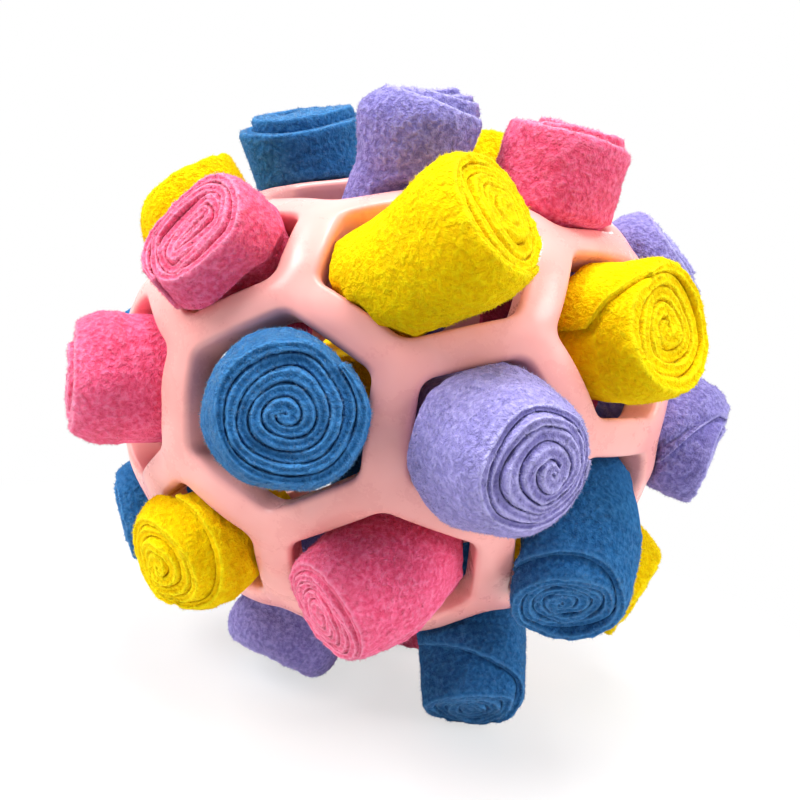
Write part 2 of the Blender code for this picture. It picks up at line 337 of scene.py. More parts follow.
@dataclass(frozen=True)
class FleeceFinish:
    """Anti-pill fleece: matted curls of pile, with painted shade between them and painted highlights on their
    crests and cut edges.

    Attributes:
        name: The material's name.
        pile: The colour of the pile.
        shade: The painted shade colour: down between the curls, in the grooves and creases, and inside the
            ball.
        tip: The paler colour of the painted highlights on the curls' crests, the cut edges and the fibres'
            tips, of the paler patches, and of the sheen.
        inside_shade_share: The share of the shade colour that is left at the root, inside the ball, as
            painted shade.
        curl_size: How large the curls are, in millimetres.
        clump_size: How large the paler patches of curls are.
        fibre_size: How fine the fibres are.
        pile_depth: How deep the pile is between its curls.
        cut_highlight: How far a cut edge is painted towards the tips' colour as a painted highlight, from 0
            to 1.
        sheen: How strongly the fibres catch light that grazes them.
        glow: How much of the light comes through the fibres.
        glow_radius: How far it travels in them.
    """

    name: str
    pile: Colour
    shade: Colour
    tip: Colour
    inside_shade_share: float = 0.3
    curl_size: float = 0.95
    clump_size: float = 3.6
    fibre_size: float = 0.30
    pile_depth: float = 1.1
    cut_highlight: float = 0.8
    sheen: float = 0.30
    glow: float = 0.35
    glow_radius: float = 0.5

    def material(self) -> bpy.types.Material:
        """This colour's material."""
        bench = ShaderBench(self.name)
        curls = bench.noise(self.curl_size, 2)
        clumps = bench.noise(self.clump_size, 2)
        fibres = bench.noise(self.fibre_size, 1)
        # Painted shade and highlight: darker down between the curls and paler on their crests, following the
        # curls of the bump.
        curl_shading = curls.spread(0.32, 0.60) * 0.75 + fibres.spread(0.3, 0.7) * 0.25
        colour = bench.mix(curl_shading, self.shade, self.pile)
        lit = clumps.spread(0.35, 0.75) * 0.08 + curls.spread(0.50, 0.70) * 0.30
        # Painted highlight along the cut edges, and painted light that makes a whole roll paler.
        lit = lit + bench.attribute("cut") * self.cut_highlight + bench.attribute("fade")
        colour = bench.mix(lit, colour, self.tip)
        # Painted shade: the grooves between turns and the creases are painted towards the shade colour, and
        # the cloth inside the ball darker still.
        deep = bench.attribute("deep")
        colour = bench.mix(deep * 0.5, colour, self.shade)
        painted_inside_shade = tuple(self.inside_shade_share * value for value in self.shade)
        colour = bench.mix(deep.spread(1.0, 2.0) * 0.72, colour, painted_inside_shade)
        height = curls + fibres * 0.3
        return bench.finish(
            Base_Color=colour,
            Roughness=0.95,
            Normal=bench.bump(height, self.pile_depth, 0.8),
            Specular_IOR_Level=0.06,
            Sheen_Weight=self.sheen,
            Sheen_Roughness=0.5,
            Sheen_Tint=self.tip,
            Subsurface_Weight=self.glow,
            Subsurface_Radius=(1.0, 1.0, 1.0),
            Subsurface_Scale=self.glow_radius * MM,
        )


class Fleece(Enum):
    """The four colours of fleece."""

    PINK = FleeceFinish("pink_fleece", (0.92, 0.13, 0.28), (0.74, 0.06, 0.15), (0.97, 0.32, 0.49))
    YELLOW = FleeceFinish("yellow_fleece", (0.97, 0.67, 0.0), (0.90, 0.53, 0.0), (0.99, 0.82, 0.01))
    BLUE = FleeceFinish("blue_fleece", (0.022, 0.135, 0.35), (0.010, 0.075, 0.22), (0.065, 0.24, 0.52))
    LAVENDER = FleeceFinish("lavender_fleece", (0.27, 0.235, 0.58), (0.14, 0.12, 0.38), (0.48, 0.45, 0.82))


# The rubber lattice ball


@dataclass
class LatticeBall:
    """The rubber ball: an icosahedron with its corners cut, as on a football, whose edges are ribs.

    Lengths are in millimetres and angles in degrees. The stuffing presses the ball out of round: a stretch
    along three turned axes, and a dent on top.

    Attributes:
        middle: The ball's middle.
        radius: The radius of its outside, before it is pressed.
        wall: How thick it is from outside to inside.
        rib_width: A rib's width at its outer edges.
        rib_inner_width: Its width at its inner edges.
        rib_round: The radius of its outer edges.
        inner_round: The radius of its inner edges.
        rib_crown: How far its middle line stands proud.
        corner_radius: The radius of the holes' corners.
        station_share: How much of a rib's middle line matches half a corner's arc.
        cut_share: How much of an icosahedron's edge each corner's cut takes.
        turn: How the pattern is turned about X, Y and Z.
        press_turn: How the axes of the stretch are turned.
        press_shares: The stretch along each of them.
        dent_azimuth: Where the dent's middle lies, counted from -Y towards +X.
        dent_elevation: How high it lies.
        dent_share: Its depth, as a share of the radius.
        dent_spread: How far from its middle it has fallen off to about a third.
        unevenness: How far the ripples move the surface.
        weld: How close the points are that are joined.
        ripples: The field of the ripples.
        finish: The rubber.
    """

    middle: Point = (0.704, 1.925, 67.0)
    radius: float = 57.5
    wall: float = 7.2
    rib_width: float = 7.9
    rib_inner_width: float = 6.0
    rib_round: float = 1.25
    inner_round: float = 1.0
    rib_crown: float = 0.25
    corner_radius: float = 3.4
    station_share: float = 0.27
    cut_share: float = 1 / 3
    turn: Point = (23.2, 22.7, 1.0)
    press_turn: Point = (-52.9, -4.8, 7.1)
    press_shares: Point = (1.04, 1.12, 0.84)
    dent_azimuth: float = -33.8
    dent_elevation: float = 72.7
    dent_share: float = 0.20
    dent_spread: float = 40.0
    unevenness: float = 0.10
    weld: float = 0.02
    ripples: Waves = field(default_factory=lambda: Waves(11, 4))
    finish: RubberFinish = field(default_factory=RubberFinish)

    def turned(self, angles: Point) -> np.ndarray:
        """The matrix of a turn about X, then Y, then Z."""
        return np.array(Euler([math.radians(angle) for angle in angles], "XYZ").to_matrix())

    def pressed(self, points: np.ndarray) -> np.ndarray:
        """Points of the round ball, moved to where the stuffing presses them.

        The stretch multiplies each point's parts along the turned axes. The dent then takes away a
        bell-shaped share of the radius, which falls off with the angle from the dent's middle.

        Args:
            points: Points about the ball's middle, in millimetres.

        Returns:
            The moved points, in the row frame, in millimetres.
        """
        axes = self.turned(self.press_turn)
        stretched = points @ axes @ np.diag(self.press_shares) @ axes.T
        dent = facing(self.dent_azimuth, self.dent_elevation)
        nearness = (unit(points) @ dent - 1) / (1 - math.cos(math.radians(self.dent_spread)))
        sunk = self.dent_share * self.radius * np.exp(nearness)[..., None] * dent
        return stretched - sunk + np.array(self.middle)

    def cells(self) -> list[np.ndarray]:
        """The corners of each hole's cell on a unit sphere, anticlockwise from outside."""
        bm = bmesh.new()
        bmesh.ops.create_icosphere(bm, subdivisions=1, radius=1)
        cut = 100 * self.cut_share
        whole = bm.verts[:]
        bmesh.ops.bevel(bm, geom=whole, offset=cut, offset_type="PERCENT", segments=1, affect="VERTICES")
        bmesh.ops.recalc_face_normals(bm, faces=bm.faces[:])
        turn = self.turned(self.turn)
        cells = [unit(np.array([vert.co for vert in face.verts])) @ turn.T for face in bm.faces]
        bm.free()
        return cells

    def outline(
        self, cell: np.ndarray, radius: float, inset: float, corner: float, steps: tuple[int, int]
    ) -> np.ndarray:
        """A cell's outline, inset and with rounded corners, on the sphere of a radius.

        For each side the points run along half of its first corner's arc, its straight, and half of the next
        arc. A point on an arc is the arc's middle plus the corner radius along a blend of the ways to the
        corner and to the side.

        Args:
            cell: The cell's corners on the unit sphere.
            radius: The sphere's radius.
            inset: How far the sides lie inside the cell's own.
            corner: The radius of the rounded corners.
            steps: How many steps a half arc and a straight have.

        Returns:
            The points, side by side, as rows.
        """
        arc, straight = steps
        corners = cell * radius
        centre = corners.mean(axis=0)
        middles = (corners + np.roll(corners, -1, axis=0)) / 2
        apothem = np.linalg.norm(middles[0] - centre)
        arc_middles = centre + (corners - centre) * (1 - (inset + corner) / apothem)
        next_middles = np.roll(arc_middles, -1, axis=0)
        sideways = unit(middles - centre)[:, None]
        outward = unit(corners - centre)[:, None]
        next_outward = np.roll(outward, -1, axis=0)
        turn = (np.arange(arc) / arc)[None, :, None]
        along = (np.arange(straight) / straight)[None, :, None]
        first = arc_middles[:, None] + corner * unit(outward * (1 - turn) + sideways * turn)
        side = arc_middles[:, None] * (1 - along) + next_middles[:, None] * along + corner * sideways
        last = next_middles[:, None] + corner * unit(sideways * (1 - turn) + next_outward * turn)
        return unit(np.concatenate([first, side, last], axis=1).reshape(-1, 3)) * radius

    def rib_line(self, cell: np.ndarray, radius: float, steps: tuple[int, int]) -> np.ndarray:
        """The points on the ribs' middle lines round a cell, matching those of outline."""
        arc, straight = steps
        edge = self.station_share
        first = edge * np.arange(arc) / arc
        side = edge + (1 - 2 * edge) * np.arange(straight) / straight
        last = 1 - edge + edge * np.arange(arc) / arc
        share = np.concatenate([first, side, last])[None, :, None]
        corners = cell[:, None]
        following = np.roll(cell, -1, axis=0)[:, None]
        return unit((corners * (1 - share) + following * share).reshape(-1, 3)) * radius

    def rings(self, cell: np.ndarray, steps: tuple[int, int] = (3, 7)) -> np.ndarray:
        """The rings that a cell's half ribs run through, from outside over the round edge to the inner face.

        Args:
            cell: The cell's corners on the unit sphere.
            steps: How many steps a half arc and a straight have.

        Returns:
            An array of rings, points and places, pressed and in the row frame, in millimetres.
        """
        inner = self.radius - self.wall
        wide, narrow = self.rib_width / 2, self.rib_inner_width / 2
        edge, lip = self.rib_round, self.inner_round
        top = self.outline(cell, self.radius, wide - edge, self.corner_radius + edge, steps)
        middle_line = self.rib_line(cell, self.radius, steps)
        rings = []
        for share in (0, 0.22, 0.44, 0.64, 0.82, 1):
            height = self.radius + self.rib_crown * (1 - share**2)
            rings.append(unit(middle_line * (1 - share) + top * share) * height)
        for angle in (18, 36, 54, 72, 90):
            back = edge * (1 - math.sin(math.radians(angle)))
            height = self.radius - edge * (1 - math.cos(math.radians(angle)))
            rings.append(self.outline(cell, height, wide - back, self.corner_radius + back, steps))
        for share in (0.25, 0.5, 0.75, 1):
            depth = (self.radius - edge) * (1 - share) + (inner + lip) * share
            inset = wide * (1 - share) + narrow * share
            rings.append(self.outline(cell, depth, inset, self.corner_radius, steps))
        for angle in (30, 60, 90):
            back = lip * (1 - math.cos(math.radians(angle)))
            depth = inner + lip * (1 - math.sin(math.radians(angle)))
            rings.append(self.outline(cell, depth, narrow - back, self.corner_radius + back, steps))
        low, inner_line = rings[-1], self.rib_line(cell, inner, steps)
        for share in (0.6, 0.3, 0):
            rings.append(unit(inner_line * (1 - share) + low * share) * inner)
        return self.pressed(np.array(rings))

    def skin(self) -> np.ndarray:
        """Points spread closely over the whole lattice, in millimetres, to fit the rolls against."""
        return np.concatenate([self.rings(cell, (6, 26)).reshape(-1, 3) for cell in self.cells()])

    def build(self) -> bpy.types.Object:
        """The dressed lattice: bands of quads between each cell's rings, welded along the ribs' middles."""
        points, faces, start = [], [], 0
        for cell in self.cells():
            rings = self.rings(cell)
            rows, columns = rings.shape[:2]
            points.append(rings.reshape(-1, 3))
            faces.append(ring_quads(rows, columns) + start)
            start += rows * columns
        places = np.concatenate(points)
        outward = unit(places - np.array(self.middle))
        places = places + outward * (self.unevenness * self.ripples.at(places))[:, None]
        piece = new_piece("lattice_ball", places * MM, np.concatenate(faces).tolist(), self.finish.material())
        bm = bmesh.new()
        bm.from_mesh(piece.data)
        bmesh.ops.remove_doubles(bm, verts=bm.verts[:], dist=self.weld * MM)
        bmesh.ops.recalc_face_normals(bm, faces=bm.faces[:])
        bm.to_mesh(piece.data)
        bm.free()
        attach(piece, "ball")
        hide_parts("rubber_ball")
        log.info("lattice_ball: %d faces", len(piece.data.polygons))
        return piece


# The fleece rolls


class EndForm(Enum):
    """How the turns of a roll stand at its outer end."""

    DOME = "each turn a little prouder than the one outside it"
    CONE = "the turns drawn out to a blunt cone"
    STEP = "the inner turns pushed out in one step"
    DISH = "the core sunk behind a rim"


@dataclass(frozen=True)
class Crease:
    """A crease or lap line up a roll's side, from one clock angle at its mouth to another at its end.

    Attributes:
        start: The clock angle at the hole's mouth, seen from outside: 0 is up and 90 is to the right.
        end: The clock angle at the outer end.
        depth: How deep it is, in millimetres.
        width: How wide it is, in millimetres.
    """

    start: float
    end: float
    depth: float = 1.2
    width: float = 1.4


@dataclass(frozen=True)
class RollPlan:
    """One roll, in millimetres and degrees. Clock angles are seen from outside: 0 is up, 90 to the right.

    Attributes:
        name: The roll's CAD node and body.
        colour: Its fleece.
        centre: The middle of its hole's mouth, on its axis.
        body: The mean radius of its outermost turn.
        reach: How far its end stands out of the mouth.
        turns: How many times the strip is wound.
        hand: 1 if the strip winds outward anticlockwise as seen from outside, else -1.
        tail: The clock angle of the strip's loose end.
        slant: How much further round the loose end lies at the outer end than at the mouth.
        fall: How far the strip's outer edge slopes back over its last half turn.
        end: The form of its outer end.
        rise: How far that form stands out.
        shoulder: The share by which the outermost turn draws in at its outer end.
        bulge: The share by which the body swells past the ribs.
        taper: The share by which the body narrows evenly from its mouth to its end.
        fold: Half the length of the flat slot in a folded core.
        fold_clock: The clock angle of that slot.
        waist: The share by which the body is squeezed at the mouth.
        uneven: How far slow waves push it out of round.
        core: How far the core lies off the middle, to the right and up.
        root: How far the roll's root is moved sideways, to the right and up.
        bend: How far the end leans sideways, to the right and up.
        face: How many degrees the end's face is turned to the right and up.
        fade: How much paler the whole roll is painted, as a share of the way to the tips' colour: painted
            light.
        creases: Its creases.
    """

    name: str
    colour: Fleece
    centre: Point
    body: float
    reach: float
    turns: float = 4.6
    hand: int = 1
    tail: float = 120.0
    slant: float = 20.0
    fall: float = 0.0
    end: EndForm = EndForm.DOME
    rise: float = 1.2
    shoulder: float = 0.10
    bulge: float = 0.05
    taper: float = 0.0
    fold: float = 0.0
    fold_clock: float = 45.0
    waist: float = -0.05
    uneven: float = 0.25
    core: tuple[float, float] = (0.0, 0.0)
    root: tuple[float, float] = (0.0, 0.0)
    bend: tuple[float, float] = (0.0, 0.0)
    face: tuple[float, float] = (0.0, 0.0)
    fade: float = 0.0
    creases: tuple[Crease, ...] = ()

    @property
    def seed(self) -> int:
        """The seed of this roll's waves and fibres, from its name."""
        return sum(map(ord, self.name))

    @property
    def whole(self) -> float:
        """The angle, in radians, that the whole strip winds through."""
        return math.tau * self.turns

    @property
    def wound_radius(self) -> float:
        """The body's radius before a fold pulls the turns apart."""
        return self.body - self.fold


@dataclass
class Room:
    """How far a roll may reach from its axis, by angle and height, without touching ribs or neighbours.

    A roll is pulled straight out, so what stands in the way above a point also holds it in.

    Attributes:
        low: The lowest height that is measured, in millimetres.
        limit: The allowed radius, by steps of angle and of one millimetre of height.
    """

    low: float
    limit: np.ndarray

    ANGLES = 72
    HEADROOM = 24
    CLEARANCE = 0.35
    OPEN = 30.0
    WIDEST_SHARE = 1.25
    SMOOTHINGS = 2

    @classmethod
    def nearest(cls, local: np.ndarray, low: float, heights: int) -> np.ndarray:
        """The least radius of points in each bin of angle and height, widened to the bins beside it.

        Args:
            local: Points in the roll's own axes, in millimetres.
            low: The height of the lowest bin.
            heights: How many bins of height there are.

        Returns:
            The least radius in each bin, or OPEN where there is nothing.
        """
        radius = np.hypot(local[:, 0], local[:, 1])
        angle = np.arctan2(local[:, 1], local[:, 0]) % math.tau
        column = np.minimum((angle / math.tau * cls.ANGLES).astype(int), cls.ANGLES - 1)
        row = np.floor(local[:, 2] - low).astype(int)
        kept = (row >= 0) & (row < heights) & (radius < cls.OPEN)
        found = np.full((cls.ANGLES, heights), cls.OPEN)
        np.minimum.at(found, (column[kept], row[kept]), radius[kept])
        beside = np.minimum(np.roll(found, 1, axis=0), np.roll(found, -1, axis=0))
        return np.minimum(found, beside)

    @classmethod
    def measured(cls, plan: RollPlan, ribs: np.ndarray, others: np.ndarray, low: float) -> "Room":
        """The room of a roll, with its steps smoothed away.

        Args:
            plan: The roll.
            ribs: Points of the lattice in the roll's own axes.
            others: Points of the other rolls' bodies in the same axes.
            low: The lowest height.

        Returns:
            Its room: up to the ribs, and half of the way to a neighbour.
        """
        heights = int(plan.reach + plan.rise - low) + cls.HEADROOM
        limit = cls.nearest(ribs, low, heights) - cls.CLEARANCE
        beyond = cls.nearest(others, low, heights)
        shared = np.where(beyond > plan.body, (plan.body + beyond) / 2, beyond) - cls.CLEARANCE / 2
        limit = np.minimum(limit, np.where(beyond < cls.OPEN, shared, cls.OPEN))
        limit = np.minimum.accumulate(limit[:, ::-1], axis=1)[:, ::-1]
        aside = max(math.hypot(*plan.bend), math.hypot(*plan.root))
        limit = np.minimum(limit, plan.body * cls.WIDEST_SHARE + aside)
        for _ in range(cls.SMOOTHINGS):
            limit = (np.roll(limit, 1, axis=0) + 2 * limit + np.roll(limit, -1, axis=0)) / 4
        padded = np.pad(limit, ((0, 0), (1, 1)), mode="edge")
        return cls(low, (padded[:, :-2] + 2 * padded[:, 1:-1] + padded[:, 2:]) / 4)

    def at(self, angle: np.ndarray, height: np.ndarray) -> np.ndarray:
        """The allowed radius at angles in radians and heights, blended between the nearest steps."""
        across = (angle / math.tau * self.ANGLES - 0.5) % self.ANGLES
        up = np.clip(height - self.low - 0.5, 0, self.limit.shape[1] - 1.001)
        column, row = np.floor(across).astype(int) % self.ANGLES, np.floor(up).astype(int)
        beside, above = (column + 1) % self.ANGLES, row + 1
        side, rise = across - np.floor(across), up - row
        lower = self.limit[column, row] * (1 - side) + self.limit[beside, row] * side
        upper = self.limit[column, above] * (1 - side) + self.limit[beside, above] * side
        return lower * (1 - rise) + upper * rise


@dataclass
class FleeceRoll:
    """One strip of fleece wound into a roll, squeezed where the ribs hold it and swelling outside them.

    Lengths are in millimetres. The strip is a closed surface on a grid: one way runs along the strip, the
    other round its cross-section. Its nap is a second piece, of fibres rooted on what shows of the first.

    Attributes:
        plan: The roll's sizes.
        axis: The way that it points.
        depth: How far it reaches inside the mouth.
        cloth_share: The cloth's thickness as a share of the distance from turn to turn.
        core_share: The radius at which the strip's middle line begins, as a share of that distance.
        outer_step: The grid's step along the outermost turn.
        inner_step: The grid's step along the turns inside it.
        outer_turns: How many turns have the finer step.
        heart_length: How much of the strip's inner end has half the inner step.
        row_step: The grid's greatest step up the part that shows.
        edge_drop: How far the rounded edge reaches down the cloth's faces.
        highlight_fringe: How far the cut edge's painted highlight fades down them.
        end_thinning: The share of its thickness that the strip loses towards its loose end.
        slope_thinning: The share that it loses where its edge slopes back.
        slope_angle: The angle, in radians, over which that edge slopes back.
        edge_waves: How far slow waves lift and lower the outer edge.
        edge_wave_length: The length of those waves.
        groove_depth: How far below a turn's edge the groove beside it is fully dark with painted shade.
        nap: How far the curls of the nap swell the cloth.
        shoulder_depth: How far down the drawing-in of the end begins.
        unevenness: How far short waves push the turns together and apart.
        core_wave_length: The length of those waves.
        body_wave_length: The length of the waves that push the whole roll out of round.
        fibres: How many fibres stand on a square millimetre.
        edge_fibres: How many more stand on a cut edge, as a share of those.
        fibre_length: A fibre's mean length.
        fibre_width: Its width at the root.
        fibre_sink: How far its root lies under the cloth.
        fibre_rise: How much of a fibre's way follows the normal.
        curl_lean: How much of it follows the curls.
        stray_lean: How much of it is random.
    """

    plan: RollPlan
    axis: np.ndarray
    depth: float = 15.0
    cloth_share: float = 1.0
    core_share: float = 0.16
    outer_step: float = 0.66
    inner_step: float = 0.95
    outer_turns: float = 1.12
    heart_length: float = 9.0
    row_step: float = 0.85
    edge_drop: float = 1.1
    highlight_fringe: float = 1.1
    end_thinning: float = 0.62
    slope_thinning: float = 0.40
    slope_angle: float = 3.3
    edge_waves: float = 0.30
    edge_wave_length: float = 10.0
    groove_depth: float = 1.2
    nap: float = 0.12
    shoulder_depth: float = 5.0
    unevenness: float = 0.30
    core_wave_length: float = 12.0
    body_wave_length: float = 15.0
    fibres: float = 4.6
    edge_fibres: float = 1.2
    fibre_length: float = 0.55
    fibre_width: float = 0.10
    fibre_sink: float = 0.06
    fibre_rise: float = 0.62
    curl_lean: float = 0.80
    stray_lean: float = 0.42

    # Half of the cut edge's outline: the share across the cloth, that of the edge's drop, and how cut it is,
    # which sets its painted highlight
    EDGE_SHARES = (
        (0.98, 0.66, 0.0),
        (0.94, 0.42, 0.2),
        (0.87, 0.19, 0.7),
        (0.79, 0.04, 1.0),
        (0.68, 0.10, 0.3),
    )
    HOLLOW_SHARES = (0.5, 0.26, 0.0)
    FOOT_SHARES = ((0.1, -0.1), (0.4, 0.0), (0.6, 0.0), (0.9, -0.1))
    EDGE_ROWS = (0, 0.6, 1.5, 3.5)
    CURLS = Waves(2.2, 11)
    CLUMPS = Waves(4.4, 12)
    TUFTS = Waves(1.15, 21)
    LENGTH_SPREAD = (0.55, 1.35)
    WIDTH_SPREAD = (0.7, 1.3)

    def axes(self) -> np.ndarray:
        """The roll's own axes as columns: to the right and up as seen from outside, and out."""
        upward = unit(np.array([0, 0, 1]) - self.axis[2] * self.axis)
        return np.stack([np.cross(upward, self.axis), upward, self.axis], axis=1)

    def to_local(self, points: np.ndarray) -> np.ndarray:
        """Points of the row frame in the roll's own axes."""
        return (points - np.array(self.plan.centre)) @ self.axes()

    def to_frame(self, local: np.ndarray) -> np.ndarray:
        """Points in the roll's own axes in the row frame."""
        return local @ self.axes().T + np.array(self.plan.centre)

    def body_points(self) -> np.ndarray:
        """Points on the roll's plain body, which its neighbours keep clear of."""
        angles, heights = np.linspace(0, math.tau, 72), np.linspace(-self.depth, self.plan.reach, 30)
        angle, height = np.meshgrid(angles, heights)
        ring = np.stack([np.cos(angle) * self.plan.body, np.sin(angle) * self.plan.body, height], axis=-1)
        return self.to_frame(ring.reshape(-1, 3))

    def pitch(self) -> float:
        """The distance from turn to turn, which makes the outermost turn's mean outer radius the body's."""
        plan = self.plan
        return plan.wound_radius / (plan.turns - 0.5 + self.core_share + self.cloth_share / 2)

    def winding(self) -> np.ndarray:
        """The angles along the strip, in radians from its inner end, that are a step of cloth apart.

        The strip's middle line is a spiral whose radius grows by the pitch each turn, so its length up to an
        angle a is core * a + pitch * a^2 / 4 pi, and the angle for a length is that formula solved for a. A
        fold adds about 0.6 of its half length to the core.
        """
        growth = self.pitch() / math.tau
        core = self.core_share * self.pitch() + self.plan.fold * 0.6
        ends = math.tau * np.array([self.plan.turns - self.outer_turns, self.plan.turns])
        inner, whole = core * ends + growth * ends**2 / 2
        heart = np.arange(0, self.heart_length, self.inner_step / 2)
        middle = np.arange(self.heart_length, inner, self.inner_step)
        along = np.concatenate([heart, middle, np.arange(inner, whole, self.outer_step), [whole]])
        return (-core + np.sqrt(core**2 + 2 * growth * along)) / growth

    def strip_length(self) -> float:
        """The length of the strip, laid flat."""
        plan = self.plan
        radius = self.pitch() * (self.core_share + plan.turns / 2)
        return math.tau * plan.turns * radius + 4 * plan.fold * plan.turns

    def mouth_share(self) -> float:
        """Where the hole's mouth lies, as a share of the strip's width."""
        return self.depth / (self.depth + self.plan.reach)

    def section(self) -> tuple[np.ndarray, ...]:
        """The strip's cross-section: points up its outer face, over its edge, down its inner face and back.

        The cut edge has two fuzzy corners and is a little hollow between them; the corners get the strongest
        painted highlight.

        Returns:
            Each point's share of the width, its drop below that, its place across the cloth from 0 inside
            to 1 outside, and how much of a cut edge it is, which sets its painted highlight.
        """
        tall, mouth = self.depth + self.plan.reach, self.mouth_share()
        inside = np.linspace(0, mouth, 6)[:-1]
        up = np.concatenate([inside, np.linspace(mouth, 1, int(self.plan.reach / self.row_step) + 2)])
        down = 1 - np.concatenate([self.EDGE_ROWS, np.linspace(6.5, tall, 7)]) / tall
        half, foot = np.array(self.EDGE_SHARES), np.array(self.FOOT_SHARES)
        edge = np.concatenate([half, [self.HOLLOW_SHARES], (half * (-1, 1, 1) + (1, 0, 0))[::-1]])
        share = np.concatenate([up, np.ones(len(edge)), down, np.zeros(len(foot))])
        drop = np.concatenate([up, edge[:, 1], down, foot[:, 1]]) * self.edge_drop
        above, below = (eased((face - 1) * tall / self.highlight_fringe + 1) * 0.2 for face in (up, down))
        across = np.concatenate([np.ones(len(up)), edge[:, 0], np.zeros(len(down)), foot[:, 0]])
        cut = np.concatenate([above, edge[:, 2], below, np.zeros(len(foot))])
        return share, drop, across, cut

    def end_height(self, share: np.ndarray) -> np.ndarray:
        """How far the strip's outer edge stands past the reach, for its share of the body's radius."""
        rise = self.plan.rise
        match self.plan.end:
            case EndForm.DOME:
                return rise * (1 - share**2)
            case EndForm.CONE:
                return rise * (1 - share) ** 0.8 * eased((1.02 - share) / 0.12)
            case EndForm.STEP:
                return rise * eased((0.84 - share) / 0.10) - 0.15 * rise * eased((0.5 - share) / 0.4)
            case EndForm.DISH:
                return -rise * eased((0.92 - share) / 0.25)

    def dip(self, way: np.ndarray, height: np.ndarray) -> np.ndarray:
        """How deep the creases are, as a bell across each line.

        Args:
            way: Angles about the axis, in radians.
            height: Heights along it.

        Returns:
            The depth at each.
        """
        outside = np.clip(height / self.plan.reach, 0, 1)
        depth = np.zeros(np.broadcast(way, height).shape)
        for crease in self.plan.creases:
            clock = math.radians(90) - np.radians(crease.start + (crease.end - crease.start) * outside)
            aside = (way - clock + math.pi) % math.tau - math.pi
            depth = depth + crease.depth * np.exp(-((aside * self.plan.body / crease.width) ** 2))
        return depth

    def spiral(
        self, wound: np.ndarray, share: np.ndarray, across: np.ndarray
    ) -> tuple[np.ndarray, np.ndarray]:
        """The plain winding, as a radius and an angle about the axis for each point of the grid.

        The cloth's middle line has the radius core + pitch * angle / 2 pi, and a point of the cross-section
        lies across it by its share of the cloth's thickness. The first turn is thickened to the middle, and
        the last part of the strip thins out against the turn below. Near the loose end the angle also grows
        with the height, which cuts the end on a slant.

        Args:
            wound: The angles along the strip, as a column.
            share: Each cross-section point's share of the width.
            across: Its place across the cloth.

        Returns:
            The radii, and the angles in radians.
        """
        plan, whole, mouth = self.plan, self.plan.whole, self.mouth_share()
        slant = math.radians(plan.slant)
        span = max(1.9, 1.7 * abs(slant))
        outside = np.clip((share[None] - mouth) / (1 - mouth), 0, 1)
        angle = wound + slant * (outside - 0.5) * eased((wound - whole + span) / span)
        sloping = self.slope_thinning * self.sloped(wound) * min(plan.fall, 1)
        cloth = self.cloth_share * (1 - np.maximum(self.end_thinning * eased(wound - whole + 1), sloping))
        start = self.core_share - self.cloth_share / 2
        plain = start + angle / math.tau
        first_turn = (start + 1) * np.clip(angle / math.tau, 0, 1) ** 40
        inner = np.where(plain < start + 1, first_turn, plain)
        radius = self.pitch() * np.maximum(inner + across * (plain + cloth - inner), 0.02 + 0.04 * across)
        return radius, math.radians(90 - plan.tail) + plan.hand * (angle - whole)

    def sloped(self, wound: np.ndarray) -> np.ndarray:
        """How far along the loose end's slope each angle of the strip is, from 0 to 1."""
        return np.clip((wound - self.plan.whole) / self.slope_angle + 1, 0, 1)

    def outer_edge(self, wound: np.ndarray) -> np.ndarray:
        """The height of the strip's outer edge: the reach, the end's form, slow waves, less the end's slope.

        Args:
            wound: The angles along the strip, as a column.

        Returns:
            Its height at each, as a column.
        """
        plan = self.plan
        body_share = np.clip(self.pitch() * (self.core_share + wound / math.tau) / plan.body, 0, 1)
        along = np.concatenate([wound * 5, wound * 0, wound * 0], axis=1)
        waves = Waves(self.edge_wave_length, plan.seed).at(along)[:, None] * eased(wound / 9)
        plain = plan.reach + self.end_height(body_share)
        return plain + self.edge_waves * waves - plan.fall * self.sloped(wound)

    def grooves(
        self, wound: np.ndarray, top: np.ndarray, height: np.ndarray, across: np.ndarray
    ) -> np.ndarray:
        """How deep each point lies between the turns: 0 above the edge of the turn it faces, 1 well below.

        Args:
            wound: The angles along the strip, as a column.
            top: The outer edge's height at each.
            height: Every point's height.
            across: Each cross-section point's place across the cloth.

        Returns:
            The share for each point.
        """
        outward = np.interp(wound + math.tau, wound[:, 0], top[:, 0], right=-99)
        inward = np.interp(wound - math.tau, wound[:, 0], top[:, 0])
        return eased((np.where(across > 0.5, outward, inward) - height) / self.groove_depth)

    def wavy(
        self, place: tuple[np.ndarray, ...], amount: np.ndarray, length: float, seed: int
    ) -> tuple[np.ndarray, ...]:
        """Places moved to the right and up by an amount times two random fields.

        Args:
            place: Their distances to the right and up, and their heights.
            amount: How far each is moved.
            length: The fields' wave length.
            seed: The first field's seed; the second has the next.

        Returns:
            The new distances to the right and up.
        """
        points = np.stack(np.broadcast_arrays(*place), axis=-1).reshape(-1, 3)
        pushes = (Waves(length, seed + step).at(points).reshape(place[0].shape) for step in (0, 1))
        return tuple(side + amount * push for side, push in zip(place, pushes))

    def loosened(
        self, radius: np.ndarray, angle: np.ndarray, height: np.ndarray
    ) -> tuple[np.ndarray, np.ndarray]:
        """The plain winding, with its core moved off the middle and its inner turns pushed by short waves.

        Args:
            radius: Distances from the axis.
            angle: Angles about it, in radians.
            height: Heights along it.

        Returns:
            The distances to the right and up.
        """
        plan = self.plan
        share = radius / plan.wound_radius
        place = (radius * np.cos(angle), radius * np.sin(angle), height)
        amount = self.unevenness * (0.4 if plan.fold else 1) * eased((1.05 - share) * 2.5)
        x, y = self.wavy(place, amount, self.core_wave_length, plan.seed + 2)
        loose = np.clip(1 - share**2, 0, 1)
        return x + plan.core[0] * loose, y + plan.core[1] * loose

